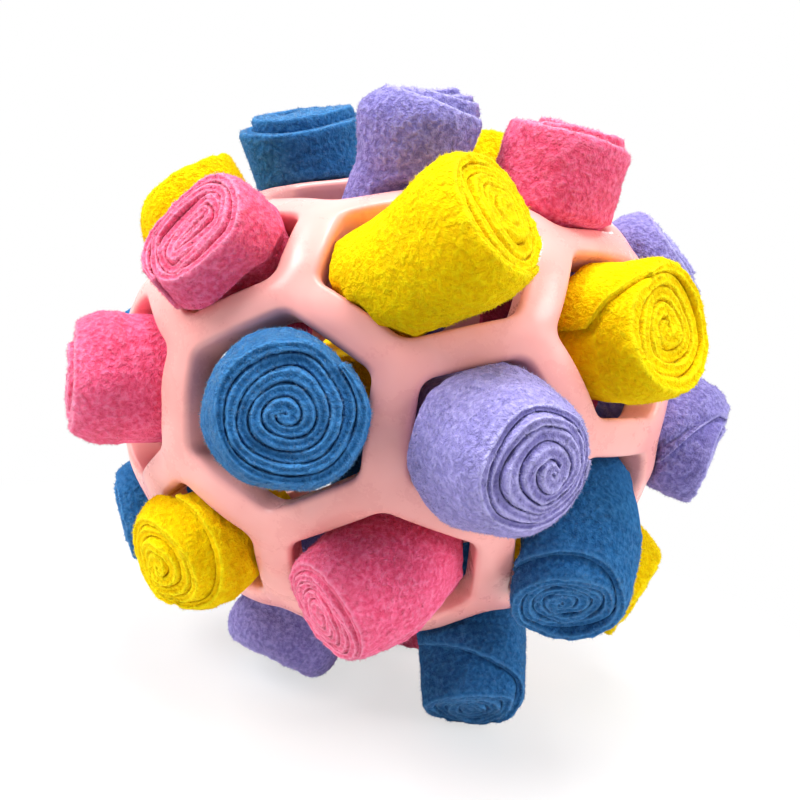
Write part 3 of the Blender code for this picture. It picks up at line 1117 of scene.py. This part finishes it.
    def girth(self, height: np.ndarray) -> tuple[np.ndarray, np.ndarray]:
        """How stout the roll is at a height, and how far its end has drawn in there.

        It is as stout as a swelling that is a sine of the height outside the mouth, times a waist that eases
        out over the reach, times an even taper.

        Args:
            height: Heights along the axis.

        Returns:
            The factor of the plain radius, and the drawing-in from 0 to 1.
        """
        plan = self.plan
        outside = np.clip(height / plan.reach, 0, 1)
        shoulder = (height - plan.reach + self.shoulder_depth) / (self.shoulder_depth + 1.5)
        swelling = 1 + plan.bulge * np.sin(np.pi * outside)
        waist = 1 - plan.waist * (1 - eased(outside * 1.4))
        return swelling * waist * (1 - plan.taper * outside), eased(shoulder) ** 1.5

    def lean(self, height: np.ndarray) -> tuple[np.ndarray, ...]:
        """How far the root and the bend move the roll to the right and up, at heights along the axis."""
        plan = self.plan
        root = 1 - eased(np.clip(height / plan.reach, 0, 1))
        end = np.clip(height / plan.reach, 0, 1.3) ** 1.3
        return tuple(plan.root[side] * root + plan.bend[side] * end for side in (0, 1))

    def shaped(self, radius: np.ndarray, angle: np.ndarray, height: np.ndarray, room: Room) -> np.ndarray:
        """The plain winding, squeezed and bent into the roll's own form.

        Each step moves places smoothly, so the turns stay in order. The loosened winding is multiplied by its
        girth, and by a drawing-in at the end that grows with the radius. A fold pulls the turns apart along
        its slot. Creases dent the roll, slow waves push it out of round, and it leans. What would reach past
        the room is drawn in to it. The end's face is turned by lowering each point by the slope times its
        place.

        Args:
            radius: Distances from the axis.
            angle: Angles about it, in radians.
            height: Heights along it.
            room: The roll's room.

        Returns:
            The points in the roll's own axes.
        """
        plan = self.plan
        x, y = self.loosened(radius, angle, height)
        radius, angle = np.hypot(x, y), np.arctan2(y, x)
        share = np.minimum(radius / plan.wound_radius, 1.2)
        grown, draw_in = self.girth(height)
        swell = grown * (1 - plan.shoulder * share**2 * draw_in)
        slot = math.radians(90 - plan.fold_clock)
        flat = plan.fold * np.clip(2.4 * np.cos(angle - slot), -1, 1)
        x = radius * swell * np.cos(angle) + flat * math.cos(slot)
        y = radius * swell * np.sin(angle) + flat * math.sin(slot)
        dip = self.dip(np.arctan2(y, x), height) * eased(share * 3 - 1.4)
        x, y = x * (1 - dip / plan.body), y * (1 - dip / plan.body)
        out_of_round = np.clip(share * 1.3, 0, 1) * plan.uneven
        x, y = self.wavy((x, y, height), out_of_round, self.body_wave_length, plan.seed)
        right, up = self.lean(height)
        x, y = x + right, y + up
        reached, way = np.hypot(x, y), np.arctan2(y, x)
        rim = plan.body * grown * (1 - plan.shoulder * draw_in) + self.pitch() * 0.45
        rim = rim + right * np.cos(way) + up * np.sin(way) + plan.fold * 0.2
        held = np.minimum(1, room.at(way % math.tau, height) / rim)
        x, y = reached * held * np.cos(way), reached * held * np.sin(way)
        slope = x * math.tan(math.radians(plan.face[0])) + y * math.tan(math.radians(plan.face[1]))
        return np.stack([x, y, height - slope * np.clip(height / plan.reach, 0, 1.1) ** 1.5], axis=-1)

    def surface(self, room: Room) -> tuple[np.ndarray, np.ndarray, np.ndarray, np.ndarray]:
        """The strip's closed surface in the row frame, with how pale and how deep each point is, for its
        painted highlight and painted shade.

        Each point is laid on the spiral, at the height that is its share of the way up to the strip's edge,
        less its drop, and is shaped with the roll. The nap's curls, a sum of two random fields, then move it
        along its normal, and less so in the grooves.

        Args:
            room: The roll's room.

        Returns:
            On the same grid by strip and cross-section: the points in millimetres, how much of a cut edge
            each is, how deep it lies between the turns and (from 1 to 2) inside the ball, and the normals.
        """
        plan = self.plan
        share, drop, across, cut = self.section()
        wound = self.winding()[:, None]
        radius, angle = self.spiral(wound, share, across)
        top = self.outer_edge(wound)
        height = -self.depth + share * (top + self.depth) - drop
        groove = self.grooves(wound, top, height, across)
        local = self.shaped(radius, angle, height, room)
        outer = eased((wound - plan.whole + math.tau * 1.05) / 0.4) * (across > 0.5)
        crease = self.dip(np.arctan2(local[..., 1], local[..., 0]), local[..., 2]) * outer
        points = self.to_frame(local)
        around = np.roll(points, -1, axis=1) - np.roll(points, 1, axis=1)
        normals = unit(np.cross(np.gradient(points, axis=0), around)) * plan.hand
        flat = points.reshape(-1, 3)
        curls = self.CURLS.at(flat) * 0.7 + self.CLUMPS.at(flat) * 0.4
        amount = self.nap * (1 - 0.85 * groove) * curls.reshape(groove.shape)
        points = points + normals * amount[..., None]
        # Painted highlight: the strip's loose end is painted paler, like its cut edges.
        loose_end_highlight = eased((wound - plan.whole) * plan.body / 0.9 + 1) * 0.6
        edge = np.maximum(cut[None] * np.ones_like(wound), loose_end_highlight)
        # Painted shade: darker in the grooves between turns and in the creases, and from 1 to 2 inside the
        # ball.
        deep = np.minimum(groove + crease * 0.4, 1) + eased((-height - 1) / 12)
        return self.standing(points), edge, deep, normals

    @staticmethod
    def standing(points: np.ndarray) -> np.ndarray:
        """Points, with those that would lie under the floor pressed flat on it."""
        return np.concatenate([points[..., :2], np.maximum(points[..., 2:], 0.0)], axis=-1)

    def fibre_mesh(
        self, points: np.ndarray, normals: np.ndarray, edge: np.ndarray, deep: np.ndarray
    ) -> tuple[np.ndarray, ...]:
        """The nap's fibres, each a closed spike of three sides, drawn together into curls.

        Roots are spread over the quads that show, and stand closer on cut edges. A fibre points along the
        normal, uphill on a random field whose crests gather the fibres into curls, and a little at random.

        Args:
            points: The cloth's points by strip and cross-section.
            normals: Its normals.
            edge: How much of a cut edge each point is.
            deep: How deep each point lies between the turns or inside the ball.

        Returns:
            The spikes' points, their faces, and how pale each point is, a painted highlight that is strongest
            at the tips.
        """
        heights = (points - np.array(self.plan.centre)) @ self.axis
        seen = (deep < 0.6) & (heights > 0.5)
        rows, columns = np.nonzero(seen[:-1] & seen[1:])
        beside = (columns + 1) % points.shape[1]
        corner_numbers = ((rows, columns), (rows, beside), (rows + 1, beside), (rows + 1, columns))
        corners = [points[numbers] for numbers in corner_numbers]
        area = np.linalg.norm(np.cross(corners[2] - corners[0], corners[3] - corners[1]), axis=1) / 2
        draw = np.random.default_rng(self.plan.seed)
        area = area * (1 + self.edge_fibres * edge[rows, columns])
        count = int(area.sum() * self.fibres)
        chosen = draw.choice(len(area), count, p=area / area.sum())
        u, v = draw.random((2, count, 1))
        share = [(1 - u) * (1 - v), u * (1 - v), u * v, (1 - u) * v]
        place = sum(part * corner[chosen] for part, corner in zip(share, corners))
        rows, columns = rows[chosen], columns[chosen]
        normal = unit(normals[rows, columns] + normals[rows + 1, (columns + 1) % points.shape[1]])
        lean = self.TUFTS.uphill(place) * self.curl_lean + draw.normal(size=(count, 3)) * self.stray_lean
        across = (lean * normal).sum(axis=1, keepdims=True)
        way = unit(normal * self.fibre_rise + lean - normal * across * 0.6)
        rising = (way * normal).sum(axis=1, keepdims=True)
        way = unit(way + normal * np.maximum(0.25 - rising, 0))
        side = unit(np.cross(way, draw.normal(size=(count, 3))))
        ahead = np.cross(way, side)
        length = self.fibre_length * draw.uniform(*self.LENGTH_SPREAD, (count, 1))
        width = self.fibre_width / 2 * draw.uniform(*self.WIDTH_SPREAD, (count, 1))
        root = place - normal * self.fibre_sink
        turns = [math.tau * step / 3 for step in range(3)]
        spokes = [side * math.cos(turn) + ahead * math.sin(turn) for turn in turns]
        spikes = np.stack([*(root + spoke * width for spoke in spokes), root + way * length], axis=1)
        first = 4 * np.arange(count)[:, None, None]
        faces = np.array([(0, 2, 1), (0, 1, 3), (1, 2, 3), (2, 0, 3)])[None] + first
        # Painted highlight: the fibres' tips, and all fibres on cut edges, are painted paler than their
        # roots.
        pale = np.tile([0.1, 0.1, 0.1, 0.5], (count, 1)) + 0.5 * edge[rows, columns][:, None]
        return self.standing(spikes.reshape(-1, 3)), faces.reshape(-1, 3), pale.ravel()

    def dressed(self, piece: bpy.types.Object, pale: np.ndarray, deep: np.ndarray) -> None:
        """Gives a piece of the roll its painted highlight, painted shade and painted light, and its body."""
        for name, values in (("cut", pale), ("deep", deep), ("fade", np.full(pale.size, self.plan.fade))):
            layer = piece.data.attributes.new(name, "FLOAT", "POINT")
            layer.data.foreach_set("value", values.astype(np.float32))
        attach(piece, self.plan.name)

    def build(self, room: Room, material: bpy.types.Material) -> None:
        plan = self.plan
        points, edge, deep, normals = self.surface(room)
        rows, columns = points.shape[:2]
        flat = points.reshape(-1, 3)
        quads = ring_quads(rows, columns)
        first = list(range(columns))
        last = [number + (rows - 1) * columns for number in first]
        if swept_volume(flat - flat.mean(axis=0), quads) < 0:
            quads = quads[:, ::-1]
            last.reverse()
        else:
            first.reverse()
        cloth = new_piece(f"{plan.name}_cloth", flat * MM, [*quads.tolist(), first, last], material)
        self.dressed(cloth, edge.ravel(), deep.ravel())
        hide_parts(plan.name)
        spikes, faces, pale = self.fibre_mesh(points, normals, edge, deep)
        nap = new_piece(f"{plan.name}_nap", spikes * MM, faces.tolist(), material)
        self.dressed(nap, pale, np.zeros(pale.size))
        flat_size = ((self.depth + plan.reach) * MM, self.strip_length() * MM)
        wide, long = (side / MM for side in flat_size)
        log.info("%s: %d fibres, strip %.0f x %.0f mm", plan.name, len(faces) // 4, wide, long)


PINK, YELLOW, BLUE, LAVENDER = Fleece.PINK, Fleece.YELLOW, Fleece.BLUE, Fleece.LAVENDER
DOME, CONE, STEP, DISH = EndForm.DOME, EndForm.CONE, EndForm.STEP, EndForm.DISH

PLANS = (
    # Seen on the front
    # lavender_roll_1 is painted paler all over: painted light.
    RollPlan("lavender_roll_1", LAVENDER, (17.34, -49.02, 71.22), 12.75, 16.3, 4.9, tail=95, end=CONE,
             rise=3.4, shoulder=0.17, bulge=0.02, taper=0.03, waist=-0.13, core=(2.0, 0.0), face=(11, -5),
             fade=0.22),
    RollPlan("blue_roll_1", BLUE, (-17.61, -50.31, 71.84), 12.25, 17.3, 5.6, tail=45, slant=10, rise=0.8,
             shoulder=0.06, bulge=0.02, taper=0.03, waist=-0.12, core=(-0.5, -0.6), root=(0.1, 0.2),
             bend=(0.6, 0.2)),
    RollPlan("yellow_roll_1", YELLOW, (2.63, -48.52, 99.67), 11.88, 16.2, 4.8, tail=150, end=CONE, rise=1.4,
             shoulder=0.08, bulge=0.04, taper=0.04, waist=0.06, root=(-0.3, -0.8), bend=(1.6, 1.5),
             face=(11, 8)),
    RollPlan("yellow_roll_2", YELLOW, (40.44, -35.46, 91.61), 11.75, 9.0, 4.2, tail=302, slant=-60, end=DISH,
             rise=1.0, shoulder=0.05, bulge=0.03, core=(0.8, 0.0), bend=(0.0, 1.2), face=(0, 9),
             creases=(Crease(269, 329, 0.6, 0.7),)),
    RollPlan("pink_roll_1", PINK, (-33.03, -39.3, 94.72), 12.0, 10.2, 3.9, tail=200, slant=8, end=DISH,
             rise=1.2, shoulder=0.08, bulge=0.03, taper=0.05, fold=3.2, fold_clock=35, bend=(-0.5, 0.8),
             face=(-8, 6)),
    RollPlan("pink_roll_2", PINK, (2.04, -36.86, 37.95), 12.53, 11.9, 5.2, hand=-1, tail=110, end=CONE,
             rise=1.6, shoulder=0.08, bulge=0.02, taper=0.12, core=(-0.6, -0.4), bend=(-3.2, 0.4),
             face=(-16, -2)),
    RollPlan("blue_roll_2", BLUE, (40.72, -27.47, 49.79), 12.14, 13.8, 4.8, tail=275, slant=25, fall=6.5,
             end=DISH, rise=0.8, shoulder=0.05, bulge=0.02, taper=0.04, core=(-0.4, -0.5), root=(-1.0, 0.0),
             bend=(-3.4, -2.0), face=(-4, 6)),
    RollPlan("yellow_roll_3", YELLOW, (-32.81, -28.38, 38.0), 11.75, 8.8, 4.4, tail=5, fall=4.5, end=CONE,
             rise=2.6, shoulder=0.14, bulge=0.04, creases=(Crease(330, 170, 1.0, 1.0),)),
    # Seen round the edge
    RollPlan("pink_roll_3", PINK, (-52.13, -24.82, 66.63), 11.75, 9.6, tail=300, shoulder=0.12),
    RollPlan("blue_roll_3", BLUE, (-24.29, 12.17, 108.7), 12.75, 16.4, 4.4, tail=300, end=STEP, rise=2.1,
             shoulder=0.0, bulge=0.0, taper=-0.12, bend=(-0.8, -1.1)),
    RollPlan("lavender_roll_2", LAVENDER, (-9.56, -23.24, 112.04), 12.0, 16.6, 4.6, tail=100, fall=2.0,
             rise=2.0, shoulder=0.16, bulge=0.02, taper=-0.03, waist=0.14, root=(5.0, -2.5),
             bend=(6.2, -2.5), face=(2, 13)),
    RollPlan("pink_roll_4", PINK, (23.6, -23.7, 114.32), 11.38, 11.6, 4.4, tail=90, fall=2.0, rise=1.5,
             shoulder=0.07, bulge=0.0, taper=-0.05, face=(2, 9)),
    RollPlan("lavender_roll_3", LAVENDER, (48.45, 0.82, 102.52), 12.12, 8.0, rise=1.6, shoulder=0.14),
    RollPlan("lavender_roll_4", LAVENDER, (59.29, -5.65, 70.19), 12.0, 10.2, tail=286, slant=-110, rise=0.6,
             shoulder=0.05, bend=(0.0, -1.0), creases=(Crease(264, 340, 0.7, 0.8),)),
    RollPlan("yellow_roll_4", YELLOW, (51.36, 12.44, 37.49), 12.25, 16.2, rise=1.0, shoulder=0.06,
             root=(0.0, -1.0), bend=(0.0, -3.2)),
    RollPlan("lavender_roll_5", LAVENDER, (-14.32, -2.79, 12.78), 12.25, 8.8, tail=220, rise=0.0,
             shoulder=0.12),
    RollPlan("blue_roll_4", BLUE, (24.96, -7.33, 19.87), 11.75, 18.5, 4.4, tail=285, fall=13.0, rise=0.0,
             shoulder=0.06, bulge=0.0),
    RollPlan("blue_roll_5", BLUE, (-48.53, 4.55, 32.29), 11.75, 8.8, tail=250),
    RollPlan("yellow_roll_5", YELLOW, (-46.74, -8.33, 97.42), 11.31, 8.4, tail=280, rise=1.2, shoulder=0.14,
             root=(0.0, 1.5), bend=(0.0, 4.0), face=(-13, 0)),
    RollPlan("yellow_roll_6", YELLOW, (14.45, 8.47, 116.21), 11.14, 10.7),
    RollPlan("blue_roll_6", BLUE, (-57.73, 10.06, 63.96), 11.25, 9.3, tail=280),
    # On the far side
    RollPlan("lavender_roll_6", LAVENDER, (-21.21, 29.02, 14.0), 11.88, 8.9, rise=0.0),
    RollPlan("yellow_roll_7", YELLOW, (-15.91, 53.11, 61.46), 11.88, 13.6, 4.8, tail=30, end=CONE, rise=2.6),
    RollPlan("blue_roll_7", BLUE, (35.47, 42.69, 35.12), 11.88, 13.6, 4.4, hand=-1, tail=210, slant=50),
    RollPlan("pink_roll_5", PINK, (33.93, 31.79, 96.33), 11.88, 13.6, 5.0, tail=320, core=(0.6, -0.5)),
    RollPlan("pink_roll_6", PINK, (-41.05, 30.6, 82.05), 11.91, 13.6, 3.8, tail=180, end=DISH, rise=0.8,
             fold=2.6),
    RollPlan("lavender_roll_7", LAVENDER, (-2.53, 39.95, 96.09), 12.92, 13.6, 5.2, tail=60, end=CONE,
             rise=3.2, shoulder=0.14),
    RollPlan("pink_roll_7", PINK, (16.4, 26.52, 11.69), 11.97, 8.0, rise=0.0),
    RollPlan("yellow_roll_8", YELLOW, (-40.03, 37.95, 40.66), 11.9, 13.6, 4.4, hand=-1, tail=140, end=STEP,
             rise=1.6),
    RollPlan("blue_roll_8", BLUE, (-0.88, 51.85, 29.1), 11.93, 13.6, 5.0, tail=270, slant=45),
    RollPlan("pink_roll_8", PINK, (53.76, 28.31, 67.9), 11.89, 13.6, 4.6, hand=-1, tail=100, rise=1.8),
    RollPlan("lavender_roll_8", LAVENDER, (22.22, 52.97, 63.83), 11.91, 13.6, 4.8, tail=200, end=DISH,
             rise=1.0),
)


@dataclass
class FleeceStuffing:
    """All the fleece rolls, fitted to the lattice and to each other.

    Attributes:
        ball: The lattice.
        plans: The rolls.
        near: How far from a roll's mouth the lattice is looked at, in millimetres.
    """

    ball: LatticeBall
    plans: tuple[RollPlan, ...] = PLANS
    near: float = 45.0

    def build(self, joints: list[dict]) -> None:
        """Builds every roll along the axis of its own slide joint.

        Args:
            joints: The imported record's joints.
        """
        axes = {joint["child"]: unit(np.array(joint["axis"], float)) for joint in joints}
        rolls = [FleeceRoll(plan, axes[plan.name]) for plan in self.plans]
        bodies = [roll.body_points() for roll in rolls]
        ribs = self.ball.skin()
        materials = {colour: colour.value.material() for colour in Fleece}
        for order, roll in enumerate(rolls):
            near = ribs[np.linalg.norm(ribs - np.array(roll.plan.centre), axis=1) < self.near]
            others = np.concatenate(bodies[:order] + bodies[order + 1 :])
            room = Room.measured(roll.plan, roll.to_local(near), roll.to_local(others), -roll.depth - 1)
            roll.build(room, materials[roll.plan.colour])


# The studio


@dataclass(frozen=True)
class Softbox:
    """A square lamp. Lengths are in metres.

    Attributes:
        name: The lamp's name.
        place: Where it hangs.
        power: Its power in watts.
        size: The length of its side.
    """

    name: str
    place: Point
    power: float
    size: float = 0.45

    def add(self, target: Point) -> None:
        """Hangs the lamp so that it faces the target."""
        data = bpy.data.lights.new(self.name, "AREA")
        data.size, data.energy = self.size, self.power
        lamp = bpy.data.objects.new(self.name, data)
        lamp.location = self.place
        lamp.rotation_euler = (Vector(self.place) - Vector(target)).to_track_quat("Z", "Y").to_euler()
        bpy.context.scene.collection.objects.link(lamp)


@dataclass
class Studio:
    """The floor, the soft light and the camera of the photograph.

    Lengths are in metres. The ball lies a little turned in the photograph, so the camera's axes are given in
    the row frame. The light is weaker on the camera's side, where the floor is grey too.

    Attributes:
        target: The ball's middle, which the camera faces.
        distance: How far the camera is from it.
        right: The way that is to the right in the picture.
        up: The way that is up in the picture.
        back: The way from the ball to the camera.
        lens: The focal length, in millimetres.
        sensor: The width of the sensor, in millimetres.
        shift: How far the picture is moved, as shares of its width.
        clip: The nearest and the furthest that the camera sees.
        floor_size: The length of the floor's side.
        floor_grey: The floor's colour on the camera's side.
        floor_white: Its colour elsewhere.
        front: The strength of the world's light on the camera's side.
        around: Its strength elsewhere.
        lamps: The lamps.
    """

    target: Point = (0.000704, 0.001925, 0.067)
    distance: float = 0.20355
    right: Point = (0.98769, 0.02716, 0.15406)
    up: Point = (-0.15643, 0.17151, 0.97268)
    back: Point = (0.0, -0.98481, 0.17365)
    lens: float = 40.69
    sensor: float = 36.0
    shift: tuple[float, float] = (0.0056, -0.0021)
    clip: tuple[float, float] = (0.01, 50.0)
    floor_size: float = 6.0
    floor_grey: Colour = (0.34, 0.34, 0.34)
    floor_white: Colour = (0.82, 0.82, 0.82)
    front: float = 0.20
    around: float = 0.54
    lamps: tuple[Softbox, ...] = (
        Softbox("key", (-0.70, -0.28, 0.72), 10.0),
        Softbox("fill", (0.76, -0.40, 0.52), 5.4),
        Softbox("top", (0.0, -0.20, 1.04), 9.0),
        Softbox("back", (0.10, 0.90, 0.50), 4.6),
    )

    def add_camera(self) -> None:
        """Puts the camera at the photograph's viewpoint."""
        data = bpy.data.cameras.new("camera")
        data.lens, data.sensor_width = self.lens, self.sensor
        data.shift_x, data.shift_y = self.shift
        data.clip_start, data.clip_end = self.clip
        camera = bpy.data.objects.new("camera", data)
        place = Vector(self.target) + Vector(self.back) * self.distance
        axes = Matrix((self.right, self.up, self.back)).transposed()
        camera.matrix_world = Matrix.Translation(place) @ axes.to_4x4()
        bpy.context.scene.collection.objects.link(camera)
        bpy.context.scene.camera = camera

    def add_floor(self) -> None:
        """Adds a pale floor, which keeps the ball's shadow and turns to plain white further off.

        It is grey on the camera's side, out of the picture, so that less light comes up from there.
        """
        half = self.floor_size / 2
        corners = np.array([(-half, -half, 0), (half, -half, 0), (half, half, 0), (-half, half, 0)], float)
        bench = ShaderBench("floor_white")
        beyond = bench.node("ShaderNodeSeparateXYZ", {}, {0: bench.place}, "Y").spread(-0.16, -0.05)
        colour = bench.mix(beyond, self.floor_grey, self.floor_white)
        bench.finish(Base_Color=colour, Roughness=0.9, Specular_IOR_Level=0.0)
        away = bench.node("ShaderNodeVectorMath", {"operation": "LENGTH"}, {0: bench.place}, "Value")
        share = bench.seen() * (away.spread(0.06, 0.16) * 0.35 + 0.65)
        glow = bench.node("ShaderNodeEmission", {}, {"Color": (1.0, 1.0, 1.0), "Strength": 1.0})
        surface = Signal(bench, bench.shader.outputs["BSDF"])
        mixed = bench.node("ShaderNodeMixShader", {}, {0: share, 1: surface, 2: glow})
        bench.connect(bench.tree.nodes["Material Output"].inputs["Surface"], mixed)
        new_piece("floor", corners, [[0, 1, 2, 3]], bench.material)

    def add_world(self) -> None:
        """Lights the ball evenly from all round but the camera's side, before a white background."""
        world = bpy.data.worlds.new("studio")
        bpy.context.scene.world = world
        world.use_nodes = True
        bench = NodeBench(world.node_tree)
        way = bench.node("ShaderNodeTexCoord", {}, {}, "Generated")
        side = bench.node("ShaderNodeSeparateXYZ", {}, {0: way}, "Y")
        levels = {"From Min": -0.95, "From Max": -0.10, "To Min": self.front, "To Max": self.around}
        light = bench.node("ShaderNodeMapRange", {}, {"Value": side, **levels})
        strength = bench.node("ShaderNodeMapRange", {}, {"Value": bench.seen(), "To Min": light})
        background = world.node_tree.nodes["Background"]
        bench.connect(background.inputs["Color"], (1.0, 1.0, 1.0))
        bench.connect(background.inputs["Strength"], strength)

    def build(self) -> None:
        """Sets up the whole studio."""
        bpy.context.scene.view_settings.view_transform = "Standard"
        self.add_world()
        for lamp in self.lamps:
            lamp.add(self.target)
        self.add_floor()
        self.add_camera()


def main() -> None:
    """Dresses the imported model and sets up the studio."""
    logging.basicConfig(level=logging.INFO, format="%(name)s: %(message)s")
    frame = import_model()
    ball = LatticeBall()
    ball.build()
    FleeceStuffing(ball).build(frame["joints"])
    Studio().build()


if __name__ == "__main__":
    main()
